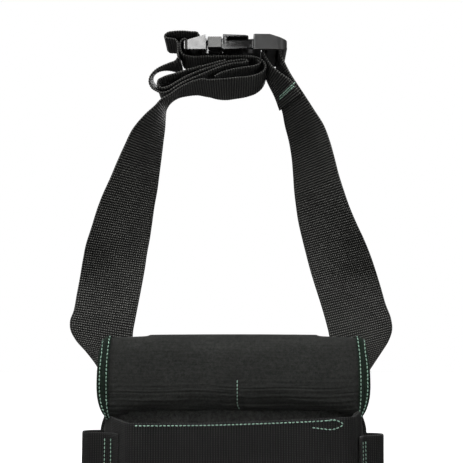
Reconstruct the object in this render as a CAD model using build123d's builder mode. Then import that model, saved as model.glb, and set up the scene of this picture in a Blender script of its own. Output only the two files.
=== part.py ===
from build123d import *
import math
import os

os.makedirs("parts", exist_ok=True)

# Garden tool bag worn on a belt. Millimetres, +Z up, the bag's front faces -Y.
# The origin is the centre of the pouch's flat bottom, under the belt.

# Driving dimensions
web_width = 50.0
web_thickness = 1.8
web_corner = 4.0
cloth = 1.2
stiffener = 1.6
seam_gap = 0.3
layer_gap = 0.2

pouch_height = 178.0
back_half_width = 104.0
front_half_width = 83.0
front_shift = 6.0
wall_back_y = 21.4
wall_front_y = -31.0

roll_half_length = 110.5
roll_depth = 17.0
roll_height = 66.5
roll_bottom_z = 180.0
roll_front_y = 2.0
hem_width = 11.0
foam_thickness = 5.0

belt_y = 21.5
belt_swing_z = 247.3
buckle_half_width = 31.0
buckle_z = 478.8
buckle_half_height = 6.0

# Sizes that follow from them
roll_mid_y = roll_front_y + roll_depth / 2
roll_mid_z = roll_bottom_z + roll_height / 2
roll_corner = roll_depth / 2 - layer_gap
back_edge_x = back_half_width + 2
base_thickness = 1.4
wall_bottom_z = base_thickness + seam_gap
wall_height = pouch_height - wall_bottom_z


def plan_corners(outset):
    """Corners of the pouch wall in plan, moved outwards: back left round to back right."""
    corners = []
    for side in (-1, 1):
        run_x = front_shift + side * front_half_width - side * back_half_width
        run_y = wall_front_y - wall_back_y
        length = math.hypot(run_x, run_y)
        normal_x = -side * run_y / length
        normal_y = side * run_x / length
        back = (side * back_half_width + normal_x * outset, wall_back_y + normal_y * outset)
        along = (wall_front_y - outset - back[1]) / run_y
        front = (back[0] + run_x * along, wall_front_y - outset)
        corners.append((back, front))
    (back_left, front_left), (back_right, front_right) = corners
    return back_left, front_left, front_right, back_right


def web_across_y(points, bend, thickness=web_thickness):
    """Flat webbing that runs through points in the XZ plane and is one belt width deep."""
    with BuildSketch(Plane.XZ) as edge_on:
        with BuildLine():
            FilletPolyline(*points, radius=bend)
        trace(line_width=thickness)
    extrude(edge_on.sketch, amount=web_width / 2, both=True)


def web_upright(points, bend, bottom_z, height, thickness=web_thickness):
    """Band that stands on edge along points in plan."""
    with BuildSketch(Plane.XY.offset(bottom_z)) as in_plan:
        with BuildLine():
            FilletPolyline(*points, radius=bend)
        trace(line_width=thickness)
    extrude(in_plan.sketch, amount=height)


def roll_face(inset, mode=Mode.ADD):
    """Section of the padded roll, moved inwards by inset."""
    with Locations((roll_mid_y, roll_mid_z)):
        RectangleRounded(roll_depth - 2 * inset, roll_height - 2 * inset, roll_corner - inset, mode=mode)


def keep_between(front_y, back_y):
    """Trim the current sketch to the space between two depths."""
    reach = 2 * web_width
    with Locations((0, back_y + reach / 2), (0, front_y - reach / 2)):
        Rectangle(4 * back_half_width, reach, mode=Mode.SUBTRACT)


def save(name, part):
    """Label one finished piece and write it."""
    part.label = name
    export_step(part, f"parts/{name}.step")


# Pouch bottom ------------------------------------------------------------------

binding_thickness = 2.4
base_back_y = wall_back_y + 0.6

with BuildPart() as base_panel:
    with BuildSketch():
        Polygon(*plan_corners(cloth), align=None)
        keep_between(wall_front_y - 2 * cloth, base_back_y)
    extrude(amount=base_thickness)
save("base_panel", base_panel.part)

base_board_inset = 2.5
base_board_thickness = 2.2

with BuildPart() as base_stiffener:
    with BuildSketch(Plane.XY.offset(wall_bottom_z)):
        Polygon(*plan_corners(-base_board_inset), align=None)
        keep_between(wall_front_y, wall_back_y)
    extrude(amount=base_board_thickness)
save("base_stiffener", base_stiffener.part)

# Pouch walls -------------------------------------------------------------------

with BuildPart() as front_panel:
    with BuildSketch(Plane.XY.offset(wall_bottom_z)):
        with Locations((front_shift, wall_front_y - cloth / 2)):
            Rectangle(2 * front_half_width, cloth)
    extrude(amount=wall_height)
save("front_panel", front_panel.part)

inner_corners = plan_corners(0)
outer_corners = plan_corners(cloth)

with BuildPart() as gusset_left:
    with BuildSketch(Plane.XY.offset(wall_bottom_z)):
        Polygon(inner_corners[0], inner_corners[1], outer_corners[1], outer_corners[0], align=None)
        keep_between(wall_front_y + seam_gap, wall_back_y + seam_gap)
    extrude(amount=wall_height)
save("gusset_left", gusset_left.part)

with BuildPart() as gusset_right:
    with BuildSketch(Plane.XY.offset(wall_bottom_z)):
        Polygon(inner_corners[3], inner_corners[2], outer_corners[2], outer_corners[3], align=None)
        keep_between(wall_front_y + seam_gap, wall_back_y + seam_gap)
    extrude(amount=wall_height)
save("gusset_right", gusset_right.part)

# Back of the bag: lining, board and outer cloth, then the tape round their edge ----

back_bottom_z = binding_thickness + seam_gap
back_top_z = pouch_height - 2
back_height = back_top_z - back_bottom_z
lining_thickness = 0.8
lining_y = wall_back_y + 0.7
board_y = lining_y + lining_thickness + layer_gap
outer_y = board_y + stiffener + layer_gap

with BuildPart() as back_panel_lining:
    with BuildSketch(Plane.XY.offset(back_bottom_z)):
        with Locations((0, lining_y + lining_thickness / 2)):
            Rectangle(2 * back_edge_x, lining_thickness)
    extrude(amount=back_height)
save("back_panel_lining", back_panel_lining.part)

board_margin = 6.0
with BuildPart() as back_stiffener:
    with BuildSketch(Plane.XY.offset(back_bottom_z + board_margin)):
        with Locations((0, board_y + stiffener / 2)):
            Rectangle(2 * (back_edge_x - board_margin), stiffener)
    extrude(amount=back_height - 2 * board_margin)
    fillet(back_stiffener.edges().filter_by(Axis.Y), radius=board_margin)
save("back_stiffener", back_stiffener.part)

with BuildPart() as back_panel_outer:
    with BuildSketch(Plane.XY.offset(back_bottom_z)):
        with Locations((0, outer_y + cloth / 2)):
            Rectangle(2 * back_edge_x, cloth)
    extrude(amount=back_height)
save("back_panel_outer", back_panel_outer.part)

binding_depth = outer_y + cloth + 2 * layer_gap - lining_y
binding_mid = back_edge_x + seam_gap + binding_thickness / 2
binding_top_z = back_top_z - 4

with BuildPart() as edge_binding:
    with BuildSketch(Plane.XZ.offset(-lining_y)):
        with BuildLine():
            Polyline(
                (-binding_mid, binding_top_z),
                (-binding_mid, binding_thickness / 2),
                (binding_mid, binding_thickness / 2),
                (binding_mid, binding_top_z),
            )
        trace(line_width=binding_thickness)
    extrude(amount=-binding_depth)
save("edge_binding", edge_binding.part)

# Webbing band and pockets on the outside of the pouch ---------------------------

band_height = 38.0
band_bottom_z = pouch_height + 1 - band_height
band_outset = cloth + seam_gap + web_thickness / 2
band_corners = list(plan_corners(band_outset))
band_back_trim = 0.9
for index, front in ((0, 1), (3, 2)):
    band_corners[index] = tuple(
        front_c + (back_c - front_c) * band_back_trim
        for back_c, front_c in zip(band_corners[index], band_corners[front])
    )

with BuildPart() as mouth_band:
    web_upright(band_corners, web_corner, band_bottom_z, band_height)
save("mouth_band", mouth_band.part)

pocket_half_width = 70.0
pocket_depth = 12.0
pocket_bottom_z = 12.0
pocket_height = 108.0
pocket_back_y = wall_front_y - cloth - seam_gap
pocket_middle_y = pocket_back_y - pocket_depth / 2 - cloth / 4
pocket_outline = (
    (front_shift - pocket_half_width, pocket_back_y - cloth / 2),
    (front_shift - pocket_half_width, pocket_back_y - pocket_depth),
    (front_shift + pocket_half_width, pocket_back_y - pocket_depth),
    (front_shift + pocket_half_width, pocket_back_y - cloth / 2),
)

with BuildPart() as front_pocket:
    with BuildSketch(Plane.XY.offset(pocket_bottom_z)):
        with BuildLine():
            FilletPolyline(*pocket_outline, radius=web_corner)
        trace(line_width=cloth)
        with Locations((front_shift, pocket_middle_y)):
            Rectangle(cloth, pocket_depth - cloth / 2)
    extrude(amount=pocket_height)
    with BuildSketch(Plane.XY.offset(pocket_bottom_z)):
        with Locations((front_shift, pocket_middle_y)):
            Rectangle(2 * pocket_half_width, pocket_depth - cloth / 2)
    extrude(amount=cloth)
save("front_pocket", front_pocket.part)

pocket_tape_height = 10.0
pocket_tape_thickness = 1.6
pocket_tape_z = pocket_bottom_z + pocket_height + seam_gap
with BuildPart() as front_pocket_binding:
    web_upright(pocket_outline, web_corner, pocket_tape_z, pocket_tape_height, pocket_tape_thickness)
save("front_pocket_binding", front_pocket_binding.part)

loop_height = 38.0
loop_bottom_z = 132.5
loop_bend = 5.0
loop_right_points = ((107.6, 18.5), (121.0, 13.0), (117.0, 0.0), (101.0, -8.0))
loop_left_points = ((-108.6, 18.5), (-122.0, 13.0), (-118.0, 0.0), (-99.0, -8.0))

with BuildPart() as side_loop_right:
    web_upright(loop_right_points, loop_bend, loop_bottom_z, loop_height)
save("side_loop_right", side_loop_right.part)

with BuildPart() as side_loop_left:
    web_upright(loop_left_points, loop_bend, loop_bottom_z, loop_height)
save("side_loop_left", side_loop_left.part)

# Padded roll that the belt passes behind ----------------------------------------

shell_half_length = roll_half_length - hem_width - seam_gap
hem_proud = 0.4
foam_inset = hem_proud + cloth + layer_gap

with BuildPart() as tunnel_front:
    with BuildSketch(Plane.YZ.offset(-shell_half_length)):
        roll_face(hem_proud)
        roll_face(hem_proud + cloth, Mode.SUBTRACT)
    extrude(amount=2 * shell_half_length)
save("tunnel_front", tunnel_front.part)

with BuildPart() as tunnel_foam:
    with BuildSketch(Plane.YZ.offset(-shell_half_length)):
        roll_face(foam_inset)
        roll_face(foam_inset + foam_thickness, Mode.SUBTRACT)
    extrude(amount=2 * shell_half_length)
save("tunnel_foam", tunnel_foam.part)

for hem_name, hem_start in (("left", -roll_half_length), ("right", roll_half_length - hem_width)):
    with BuildPart() as tunnel_hem:
        with BuildSketch(Plane.YZ.offset(hem_start)):
            roll_face(0)
            roll_face(2 * cloth, Mode.SUBTRACT)
        extrude(amount=hem_width)
    save(f"tunnel_hem_{hem_name}", tunnel_hem.part)

tunnel_back_half_width = 78.0
tunnel_back_bottom_z = back_top_z + seam_gap
tunnel_back_top_z = 244.0
tunnel_back_corner = 8.0

with BuildPart() as tunnel_back:
    with BuildSketch(Plane.XY.offset(tunnel_back_bottom_z)):
        with Locations((0, outer_y + cloth / 2)):
            Rectangle(2 * tunnel_back_half_width, cloth)
    extrude(amount=tunnel_back_top_z - tunnel_back_bottom_z)
    fillet(tunnel_back.edges().filter_by(Axis.Y).group_by(Axis.Z)[-1], radius=tunnel_back_corner)
save("tunnel_back", tunnel_back.part)

# Lockstitch rows: short lengths of thread lying on the cloth -------------------------

stitch_length = 2.4
stitch_pitch = 3.2
thread_thickness = 0.6
row_spacing = 6.0
row_inset = 2.6
hem_stitches = 14
tack_stitches = 9
tack_middle = (2.8, roll_bottom_z + roll_corner + 6)
band_stitches = 44
band_row_z = pouch_height - 1.6
thread_gap = 0.2

with BuildPart() as roll_stitching:
    with BuildSketch(Plane.XZ.offset(-roll_front_y + thread_gap)):
        for side in (-1, 1):
            row_middle_x = side * (roll_half_length - row_inset - row_spacing / 2)
            with Locations((row_middle_x, roll_mid_z)):
                with GridLocations(row_spacing, stitch_pitch, 2, hem_stitches):
                    Rectangle(thread_thickness, stitch_length)
        with Locations(tack_middle):
            with GridLocations(0, stitch_pitch, 1, tack_stitches):
                Rectangle(thread_thickness, stitch_length)
    extrude(amount=thread_thickness)
save("roll_stitching", roll_stitching.part)

band_face_y = wall_front_y - cloth - seam_gap - web_thickness
with BuildPart() as mouth_stitching:
    with BuildSketch(Plane.XZ.offset(-band_face_y + thread_gap)):
        with Locations((front_shift, band_row_z)):
            with GridLocations(stitch_pitch, 0, band_stitches, 1):
                Rectangle(stitch_length, thread_thickness)
    extrude(amount=thread_thickness)
save("mouth_stitching", mouth_stitching.part)

# Belt inside the tunnel, with the two corners where it turns upwards --------------

belt_cut_z = belt_swing_z - 1.3
tunnel_web_top_z = roll_mid_z + web_width / 2
tunnel_web_bottom_z = roll_mid_z - web_width / 2
corner_z = 221.0

with BuildPart() as belt_tunnel_web:
    with BuildSketch(Plane.XZ.offset(-belt_y)):
        Polygon(
            (-132.5, belt_cut_z),
            (-112.0, corner_z),
            (-101.0, tunnel_web_bottom_z),
            (101.0, tunnel_web_bottom_z),
            (114.0, corner_z),
            (130.0, belt_cut_z),
            (80.0, belt_cut_z),
            (76.0, tunnel_web_top_z),
            (-78.0, tunnel_web_top_z),
            (-82.5, belt_cut_z),
            align=None,
        )
    extrude(amount=web_thickness / 2, both=True)
save("belt_tunnel_web", belt_tunnel_web.part)

# The two belt sides: their inner edges rise in the belt plane while the webbing
# turns edge-on, its outer edge coming to the front -------------------------------

strap_start_z = belt_swing_z + 0.5
strap_sections = 14
strap_width = 51.0


def twisted_strap(side, inner_line, twist_start_z, twist_end_z, twist_end, ease):
    """Loft the webbing through level sections along its inner edge."""
    sections = []
    for index in range(strap_sections + 1):
        inner = inner_line @ (index / strap_sections)
        turned = max(0.0, (inner.Y - twist_start_z) / (twist_end_z - twist_start_z)) ** ease
        angle = math.radians(twist_end) * turned
        across_x = side * math.cos(angle)
        across_y = -math.sin(angle)
        middle = (inner.X + across_x * strap_width / 2, belt_y + across_y * strap_width / 2)
        with BuildSketch(Plane.XY.offset(inner.Y)) as section:
            with Locations(middle):
                Rectangle(strap_width, web_thickness, rotation=-side * math.degrees(angle))
        sections.append(section.sketch)
    loft(sections, ruled=True)


with BuildLine() as left_inner_edge:
    Spline((-82.5, strap_start_z), (-73.1, 300.0), (-65.0, 360.0), (-57.0, 427.0))

with BuildPart() as strap_left:
    twisted_strap(-1, left_inner_edge.line, 297.0, 427.0, 86.0, 0.9)
save("strap_left", strap_left.part)

with BuildLine() as right_inner_edge:
    Spline((79.5, strap_start_z), (63.3, 300.0), (52.0, 353.0), (47.5, 400.0), (35.5, 451.6))

with BuildPart() as strap_right:
    twisted_strap(1, right_inner_edge.line, 283.0, 455.0, 78.0, 0.75)
save("strap_right", strap_right.part)

# Spare belt folded under the buckle: a doubled lower run, up round the socket's bars,
# then the tail, which loops on the left and is tucked between the two runs ----------

bundle_bend = 1.9
bundle_split = (-27.4, 484.6)
bundle_path = (
    (-58.0, 428.4),
    (-54.0, 436.0),
    (-37.0, 446.0),
    (-14.0, 450.0),
    (20.0, 453.8),
    (25.8, 460.6),
    (20.0, 467.4),
    (4.0, 468.4),
    (-40.4, 469.6),
    (-42.5, 473.8),
    (-42.5, 486.1),
    (-35.3, 486.1),
    (-35.3, 475.4),
    (-27.4, 475.4),
    bundle_split,
)
with BuildPart() as belt_bundle:
    web_across_y(bundle_path, bundle_bend)
save("belt_bundle", belt_bundle.part)

tail_bend = 1.3
tail_path = (
    (bundle_split[0], bundle_split[1] + seam_gap),
    (bundle_split[0], bundle_split[1] + 3.8),
    (-50.0, 488.4),
    (-55.0, 487.0),
    (-54.6, 483.6),
    (-47.0, 483.2),
    (-44.9, 480.4),
    (-44.9, 468.8),
    (-47.4, 465.4),
    (-58.0, 460.4),
    (-66.5, 452.4),
    (-67.0, 445.0),
    (-62.0, 440.0),
    (-55.0, 441.2),
    (-34.0, 451.2),
    (-22.5, 455.8),
    (-7.0, 461.2),
    (5.0, 462.8),
    (12.0, 464.6),
    (5.0, 466.2),
    (-7.0, 463.9),
    (-24.0, 459.0),
    (-40.0, 452.4),
    (-57.0, 445.0),
)
with BuildPart() as belt_tail:
    web_across_y(tail_path, tail_bend)
save("belt_tail", belt_tail.part)

# Side-release buckle seen on edge: its width runs along Y --------------------------

plate_thickness = 1.7
plate_gap_half = buckle_half_height - plate_thickness
buckle_top_z = buckle_z + buckle_half_height
buckle_bottom_z = buckle_z - buckle_half_height
moulded_overlap = 0.5
through_height = 4 * buckle_half_height
socket_left_x = -40.0
socket_block_x = -22.0
socket_mouth_x = 12.0
slot_width = 4.4
slot_half_length = 26.5
outer_bar_width = 2.5
middle_bar_width = 3.5
socket_slot_b_x = socket_left_x + outer_bar_width + slot_width / 2
socket_slot_a_x = socket_slot_b_x + slot_width + middle_bar_width
rib_y = 8.5
rib_thickness = 2.0
post_x = -6.5
post_y = 28.8
post_size = 3.2
post_corner = 0.8
socket_toe = 1.5
socket_corner = 3.5
window_inner_y = 17.5
window_left_x = socket_block_x
window_right_x = -8.5
mouth_drop = 0.8
socket_profile = (
    (socket_left_x, buckle_bottom_z + socket_toe),
    (socket_left_x, buckle_z + 0.4),
    (socket_block_x, buckle_top_z),
    (window_right_x, buckle_top_z),
    (socket_mouth_x, buckle_top_z - mouth_drop),
    (socket_mouth_x, buckle_bottom_z + mouth_drop),
    (window_right_x, buckle_bottom_z),
    (socket_left_x + socket_toe, buckle_bottom_z),
)
plate_length = socket_mouth_x - socket_block_x
plate_middle_x = (socket_block_x + socket_mouth_x) / 2

with BuildPart() as buckle_socket:
    with BuildSketch(Plane.XZ.offset(-buckle_half_width)):
        Polygon(*socket_profile, align=None)
    extrude(amount=2 * buckle_half_width)
    fillet(buckle_socket.edges().filter_by(Axis.Z), radius=socket_corner)
    with BuildSketch(Plane.XY.offset(buckle_z - plate_gap_half)):
        with Locations((plate_middle_x + 1, 0)):
            Rectangle(plate_length + 2, 3 * buckle_half_width)
    extrude(amount=2 * plate_gap_half, mode=Mode.SUBTRACT)
    with BuildSketch(Plane.XY.offset(buckle_z - plate_gap_half - moulded_overlap)):
        with Locations((plate_middle_x - 2, 0)):
            with GridLocations(0, 2 * rib_y, 1, 2):
                Rectangle(plate_length - 4, rib_thickness)
        with Locations((post_x, -post_y), (post_x, post_y)):
            RectangleRounded(post_size, post_size, post_corner)
    extrude(amount=2 * (plate_gap_half + moulded_overlap))
    with BuildSketch(Plane.XY.offset(buckle_z - through_height / 2)):
        with Locations((socket_slot_b_x, 0), (socket_slot_a_x, 0)):
            Rectangle(slot_width, 2 * slot_half_length)
        for side in (-1, 1):
            window_y = side * (window_inner_y + buckle_half_width)
            with Locations(((window_left_x + window_right_x) / 2, window_y)):
                Rectangle(window_right_x - window_left_x, 2 * buckle_half_width)
    extrude(amount=through_height, mode=Mode.SUBTRACT)
    with BuildSketch(Plane.XY.offset(buckle_bottom_z - buckle_half_height)):
        with Locations(((socket_slot_b_x + socket_slot_a_x) / 2, 0)):
            Rectangle(middle_bar_width + 2 * moulded_overlap, 2 * slot_half_length)
    extrude(amount=2 * buckle_half_height - socket_toe, mode=Mode.SUBTRACT)
save("buckle_socket", buckle_socket.part)

base_left_x = 16.0
base_right_x = 43.0
plug_slot_width = 4.6
plug_bar_width = 7.7
plug_front_bar = 6.0
plug_corner = 8.0
plug_chamfer = 1.0
plug_slot_a_x = base_left_x + plug_front_bar + plug_slot_width / 2
plug_slot_b_x = plug_slot_a_x + plug_slot_width + plug_bar_width
plug_bar_half_height = 3.0
prong_tip_x = -12.0
prong_half_width = 5.0
prong_half_height = 3.0
prong_corner = 2.5
arm_pivot_x = 15.4
arm_pivot_y = 22.5
arm_root_radius = 2.4
arm_half_height = 3.7
pivot_clearance = 0.25
plug_profile = (
    (base_left_x, buckle_bottom_z),
    (base_left_x, buckle_top_z + 0.3),
    (base_left_x + 13, buckle_top_z + 0.1),
    (base_right_x, buckle_z + 1.6),
    (base_right_x, buckle_bottom_z + 2.2),
    (base_right_x - 2.5, buckle_bottom_z),
)

with BuildPart() as buckle_plug:
    with BuildSketch(Plane.XZ.offset(-buckle_half_width)):
        Polygon(*plug_profile, align=None)
    extrude(amount=2 * buckle_half_width)
    fillet(buckle_plug.edges().filter_by(Axis.Z).group_by(Axis.X)[-1], radius=plug_corner)
    chamfer(buckle_plug.edges().filter_by(Axis.Z).group_by(Axis.X)[0], length=plug_chamfer)
    with BuildSketch(Plane.XY.offset(buckle_z - prong_half_height)):
        with Locations(((prong_tip_x + base_left_x) / 2 + 1, 0)):
            RectangleRounded(base_left_x - prong_tip_x + 2, 2 * prong_half_width, prong_corner)
    extrude(amount=2 * prong_half_height)
    with BuildSketch(Plane.XY.offset(buckle_z - through_height / 2)):
        with Locations((plug_slot_a_x, 0), (plug_slot_b_x, 0)):
            Rectangle(plug_slot_width, 2 * slot_half_length)
    extrude(amount=through_height, mode=Mode.SUBTRACT)
    with BuildSketch(Plane.XY.offset(buckle_z + plug_bar_half_height)):
        with Locations(((plug_slot_a_x + plug_slot_b_x) / 2, 0)):
            Rectangle(plug_bar_width + 2 * moulded_overlap, 2 * slot_half_length)
    extrude(amount=through_height / 2, mode=Mode.SUBTRACT)
    with BuildSketch(Plane.XY.offset(buckle_z - arm_half_height - pivot_clearance)):
        with Locations((arm_pivot_x, -arm_pivot_y), (arm_pivot_x, arm_pivot_y)):
            Circle(arm_root_radius + pivot_clearance)
    extrude(amount=2 * (arm_half_height + pivot_clearance), mode=Mode.SUBTRACT)
save("buckle_plug", buckle_plug.part)

arm_thickness = 3.0
pad_left_x = -20.5
pad_right_x = -9.5
pad_outer_y = 30.5
pad_inner_y = 21.5
pad_half_height = 4.2
pad_corner = 1.5
groove_pitch = 1.8
groove_width = 0.8
groove_depth = 0.4
groove_count = 5

for arm_name, side in (("front", -1), ("rear", 1)):
    with BuildPart() as latch_arm:
        with BuildSketch(Plane.XY.offset(buckle_z - arm_half_height)):
            with Locations((arm_pivot_x, side * arm_pivot_y)):
                Circle(arm_root_radius)
            with Locations(((pad_right_x - 1 + arm_pivot_x) / 2, side * arm_pivot_y)):
                Rectangle(arm_pivot_x - pad_right_x + 1, arm_thickness)
        extrude(amount=2 * arm_half_height)
        with BuildSketch(Plane.XY.offset(buckle_z - pad_half_height)):
            with Locations(((pad_left_x + pad_right_x) / 2, side * (pad_outer_y + pad_inner_y) / 2)):
                RectangleRounded(pad_right_x - pad_left_x, pad_outer_y - pad_inner_y, pad_corner)
            with Locations(((pad_left_x + pad_right_x) / 2, side * pad_outer_y)):
                with GridLocations(groove_pitch, 0, groove_count, 1):
                    Rectangle(groove_width, 2 * groove_depth, mode=Mode.SUBTRACT)
        extrude(amount=2 * pad_half_height)
    save(f"latch_arm_{arm_name}", latch_arm.part)

# Right belt end, looped through the plug and sewn back on itself --------------------

loop_top_z = buckle_z + plug_bar_half_height + seam_gap + 1.3
loop_end_path = (
    (41.0, 452.8),
    (plug_slot_b_x, 466.0),
    (plug_slot_b_x, loop_top_z),
    (plug_slot_a_x, loop_top_z),
    (plug_slot_a_x, 471.0),
    (37.2, 453.0),
)
with BuildPart() as strap_right_sewn_end:
    web_across_y(loop_end_path, bundle_bend)
save("strap_right_sewn_end", strap_right_sewn_end.part)
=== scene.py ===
import math

import bpy
import numpy as np
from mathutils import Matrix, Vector
from mathutils.bvhtree import BVHTree


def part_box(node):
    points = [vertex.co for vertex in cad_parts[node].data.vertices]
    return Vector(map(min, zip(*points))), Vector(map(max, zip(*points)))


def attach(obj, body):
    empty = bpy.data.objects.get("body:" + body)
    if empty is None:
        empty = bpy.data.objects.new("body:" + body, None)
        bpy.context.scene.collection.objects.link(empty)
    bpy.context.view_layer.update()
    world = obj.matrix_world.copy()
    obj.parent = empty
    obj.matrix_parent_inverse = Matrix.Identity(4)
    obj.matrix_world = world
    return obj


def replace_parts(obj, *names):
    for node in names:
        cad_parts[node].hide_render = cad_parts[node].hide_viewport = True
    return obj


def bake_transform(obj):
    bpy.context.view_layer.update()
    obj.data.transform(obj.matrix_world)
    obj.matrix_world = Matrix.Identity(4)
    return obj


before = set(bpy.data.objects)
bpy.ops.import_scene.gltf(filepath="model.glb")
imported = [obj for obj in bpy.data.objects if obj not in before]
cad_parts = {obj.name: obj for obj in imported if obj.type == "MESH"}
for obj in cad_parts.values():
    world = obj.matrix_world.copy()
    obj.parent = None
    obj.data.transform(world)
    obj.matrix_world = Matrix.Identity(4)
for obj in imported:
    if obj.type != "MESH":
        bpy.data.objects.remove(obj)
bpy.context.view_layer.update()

# Lengths below are in metres, in the frame's own axes: +Z up, the bag's front faces -Y.
MM = 0.001
noise = np.random.default_rng(7)


def span(node, axis):
    """Lowest and highest place of a CAD node along one axis."""
    low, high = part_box(node)
    return low[axis], high[axis]


# Driving dimensions, most of them read from the frame --------------------

RIB_PITCH = 2.0 * MM
RIB_HEIGHT = 0.16 * MM
WEB_WIDTH = span("belt_bundle", 1)[1] - span("belt_bundle", 1)[0]
WEB_HALF = 0.85 * MM
WEB_WANDER = 0.35 * MM
SELVEDGE = 0.035
NOISE_GAIN = 1.6
STITCH_PITCH = 3.1 * MM
STITCH_LENGTH = 2.3 * MM
THREAD_RADIUS = 0.42 * MM
THREAD_LIFT = 0.1 * MM
STAND_OFF = 80 * MM
BELT_Y = sum(span("belt_tunnel_web", 1)) / 2
ROLL_LOW, ROLL_HIGH = span("tunnel_hem_left", 2)
ROLL_FRONT, ROLL_BACK = span("tunnel_hem_left", 1)
ROLL_END = span("tunnel_hem_right", 0)[1]
HEM_WIDTH = ROLL_END - span("tunnel_hem_right", 0)[0]
MOUTH_Z = span("front_panel", 2)[1]
FRONT_LEFT, FRONT_RIGHT = span("front_panel", 0)
FRONT_Y = sum(span("front_panel", 1)) / 2
BACK_LEFT, BACK_RIGHT = span("gusset_left", 0)[0], span("gusset_right", 0)[1]
WALL_BACK_Y = span("gusset_left", 1)[1]
SOCKET_BLOCK_X = span("buckle_socket", 0)[0] + 18.7 * MM
PAD_RIGHT_X = span("latch_arm_front", 0)[0] + 11.2 * MM


# Meshes --------------------


def new_object(name, vertices, faces, material, uv=None):
    """Smooth-shaded mesh object from arrays, with one UV pair for each vertex."""
    mesh = bpy.data.meshes.new(name)
    mesh.from_pydata(vertices.tolist(), [], faces if isinstance(faces, list) else faces.tolist())
    mesh.polygons.foreach_set("use_smooth", [True] * len(mesh.polygons))
    if uv is not None:
        corner = np.empty(len(mesh.loops), int)
        mesh.loops.foreach_get("vertex_index", corner)
        mesh.uv_layers.new(name="Cloth").data.foreach_set("uv", np.asarray(uv)[corner].ravel())
    mesh.update()
    piece = bpy.data.objects.new(name, mesh)
    bpy.context.collection.objects.link(piece)
    piece.data.materials.append(material)
    return piece


def settle(piece, slot, body, *nodes):
    """Let a piece stand in for CAD nodes and give it its body; its slot is not used."""
    if nodes:
        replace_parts(piece, *nodes)
    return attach(piece, body)


def unit(vectors):
    """Vectors scaled to length one."""
    return vectors / np.maximum(np.linalg.norm(vectors, axis=-1, keepdims=True), 1e-12)


def ramp(value):
    """Numbers kept within 0..1."""
    return np.clip(value, 0, 1)


def signed_power(value, power):
    """Numbers raised to a power with their signs kept."""
    return np.sign(value) * np.abs(value) ** power


def run_length(points, start=0.0):
    """Distance travelled at each of a row of points."""
    return np.cumsum(np.r_[start, np.linalg.norm(np.diff(points, axis=0), axis=1)])


def sample(at, length, table):
    """Rows of a table read between its own at places along its length."""
    return np.stack([np.interp(at, length, column) for column in table.T], -1)


def points_of(mesh):
    """A mesh's points as an array."""
    return np.array([v.co for v in mesh.vertices])


def surface_of(piece):
    """A piece's surface, ready for rays."""
    return BVHTree.FromObject(piece, bpy.context.evaluated_depsgraph_get())


def tube_faces(rings, sides, first=0):
    """Faces of a tube of rings that is capped at both ends."""
    i, j = np.meshgrid(np.arange(rings - 1), np.arange(sides), indexing="ij")
    k = (j + 1) % sides
    corners = [i * sides + j, i * sides + k, (i + 1) * sides + k, (i + 1) * sides + j]
    cap = np.arange(first, first + sides)
    quads = (np.stack(corners, -1).reshape(-1, 4) + first).tolist()
    return quads + [cap[::-1].tolist(), (cap + (rings - 1) * sides).tolist()]


def grid_normals(points, wrap=False):
    """Normals of a grid of points; wrap closes it along its second axis."""
    along = np.gradient(points, axis=0)
    if wrap:
        across = (np.roll(points, -1, 1) - np.roll(points, 1, 1)) / 2
    else:
        across = np.gradient(points, axis=1)
    return unit(np.cross(along, across))


def slab(name, middle, half, material, wrap=False, lift=None, start=0.0):
    """Closed sheet round a grid of middle points; half is its half thickness at each of them."""
    rows, columns = middle.shape[:2]
    normal = grid_normals(middle, wrap)
    half = np.broadcast_to(half, (rows, columns))[..., None]
    if lift is not None:
        middle = middle + normal * lift[..., None]
    upper, lower = middle + normal * half, middle - normal * half
    vertices = np.concatenate([upper.reshape(-1, 3), lower.reshape(-1, 3)])
    i, j = np.meshgrid(np.arange(rows - 1), np.arange(columns if wrap else columns - 1), indexing="ij")
    k = (j + 1) % columns
    under = rows * columns
    a, b, c, d = i * columns + j, (i + 1) * columns + j, (i + 1) * columns + k, i * columns + k
    quads = [np.stack([a, b, c, d], -1).reshape(-1, 4), np.stack([d, c, b, a], -1).reshape(-1, 4) + under]
    for row, turned in ((0, True), (rows - 1, False)):
        p, q = row * columns + j[0], row * columns + k[0]
        p, q = (q, p) if turned else (p, q)
        quads.append(np.stack([p, p + under, q + under, q], -1))
    if not wrap:
        for column, turned in ((0, False), (columns - 1, True)):
            p, q = i[:, 0] * columns + column, (i[:, 0] + 1) * columns + column
            p, q = (q, p) if turned else (p, q)
            quads.append(np.stack([p, p + under, q + under, q], -1))
    closed = np.concatenate([middle, middle[:, :1]], 1) if wrap else middle
    u = run_length(middle.mean(1), start)
    v = run_length(closed.mean(0))[:columns]
    uv = np.stack(np.broadcast_arrays(u[:, None], v[None, :]), -1).reshape(-1, 2)
    return new_object(name, vertices, np.concatenate(quads), material, np.concatenate([uv, uv]))


def smooth_curve(points, step):
    """Points at even steps along a smooth curve through the given rows of numbers."""
    points = np.asarray(points, float)
    knots = run_length(points[:, :3])
    slope = np.gradient(points, knots, axis=0)

    def at(t):
        i = np.clip(np.searchsorted(knots, t, side="right") - 1, 0, len(knots) - 2)
        width = knots[i + 1] - knots[i]
        s = ((t - knots[i]) / width)[:, None]
        width = width[:, None]
        return ((1 + 2 * s) * (1 - s) ** 2 * points[i] + s * (1 - s) ** 2 * width * slope[i]
                + s * s * (3 - 2 * s) * points[i + 1] + s * s * (s - 1) * width * slope[i + 1])

    fine_t = np.linspace(0, knots[-1], 40 * len(points))
    fine = at(fine_t)
    length = run_length(fine[:, :3])
    count = max(3, int(round(length[-1] / step)) + 1)
    return at(np.interp(np.linspace(0, length[-1], count), length, fine_t))


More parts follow.
